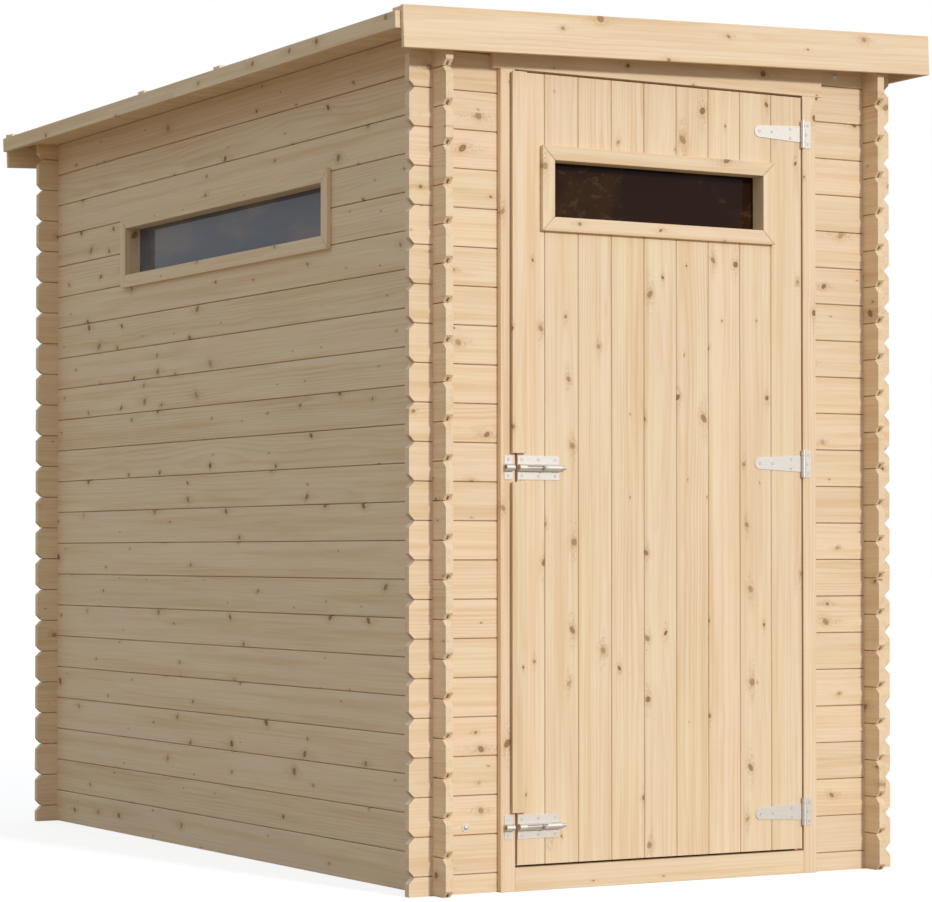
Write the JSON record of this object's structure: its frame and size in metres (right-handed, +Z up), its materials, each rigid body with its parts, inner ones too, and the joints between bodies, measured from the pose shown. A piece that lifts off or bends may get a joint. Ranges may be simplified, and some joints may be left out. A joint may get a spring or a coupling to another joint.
{
  "type": "garden shed",
  "caption": "Small timber garden shed of interlocking wall logs with a single-pitch board roof, boarded door on T hinges, barrel bolts and strip windows.",
  "frame": {"origin": "on the ground, under the middle of the shed's outer box", "axes": "+X to the right along the front with the door, +Y from the front to the rear, +Z up"},
  "size_m": [1.472, 2.393, 2.0213],
  "materials": {
    "pine_boards": "untreated planed pine with knots",
    "door_pine": "untreated planed pine boards with knots",
    "zinc_hardware": "bright zinc plated",
    "bright_rod": "bright zinc plated, polished",
    "brown_glass": "dark brown tinted sheet",
    "grey_glass": "clear sheet that looks grey-blue"
  },
  "bodies": {
    "shed": {"left_wall": "pine_boards", "right_wall": "pine_boards", "rear_wall": "pine_boards", "front_wall_left": "pine_boards", "front_wall_right": "pine_boards", "front_wall_top": "pine_boards", "storm_braces": "pine_boards", "purlins": "pine_boards", "roof_boards": "pine_boards", "front_fascia": "pine_boards", "rear_fascia": "pine_boards", "right_fascia": "pine_boards", "left_slat_front": "pine_boards", "left_slat_rear": "pine_boards", "roof_battens": "pine_boards", "door_post_left": "pine_boards", "door_post_right": "pine_boards", "door_head": "pine_boards", "door_sill": "pine_boards", "door_lintel_trim": "pine_boards", "hinge_plate_top": "zinc_hardware", "hinge_plate_middle": "zinc_hardware", "hinge_plate_bottom": "zinc_hardware", "bolt_keeper_upper": "zinc_hardware", "bolt_keeper_lower": "zinc_hardware", "side_window_lining": "pine_boards", "side_window_trim_outer": "pine_boards", "side_window_trim_inner": "pine_boards", "side_window_glass": "grey_glass"},
    "door": {"door_boards": "door_pine", "door_ledges": "door_pine", "door_brace": "door_pine", "door_window_lining": "door_pine", "door_window_trim_outer": "door_pine", "door_window_trim_inner": "door_pine", "door_glass": "brown_glass", "cover_strip_upper": "door_pine", "cover_strip_lower": "door_pine", "hinge_strap_top": "zinc_hardware", "hinge_strap_middle": "zinc_hardware", "hinge_strap_bottom": "zinc_hardware", "bolt_case_upper": "zinc_hardware", "bolt_case_lower": "zinc_hardware"},
    "bolt_upper": {"bolt_rod_upper": "bright_rod"},
    "bolt_lower": {"bolt_rod_lower": "bright_rod"}
  },
  "joints": [
    {"name": "door_hinge", "type": "hinge", "parent": "shed", "child": "door", "pos_m": [0.40203, -1.1345, 0.0595], "axis": [0, 0, 1], "range_deg": [0, 150]},
    {"name": "upper_bolt_slide", "type": "slide", "parent": "door", "child": "bolt_upper", "axis": [-1, 0, 0], "range_m": [0, 0.04]},
    {"name": "lower_bolt_slide", "type": "slide", "parent": "door", "child": "bolt_lower", "axis": [-1, 0, 0], "range_m": [0, 0.04]}
  ]
}
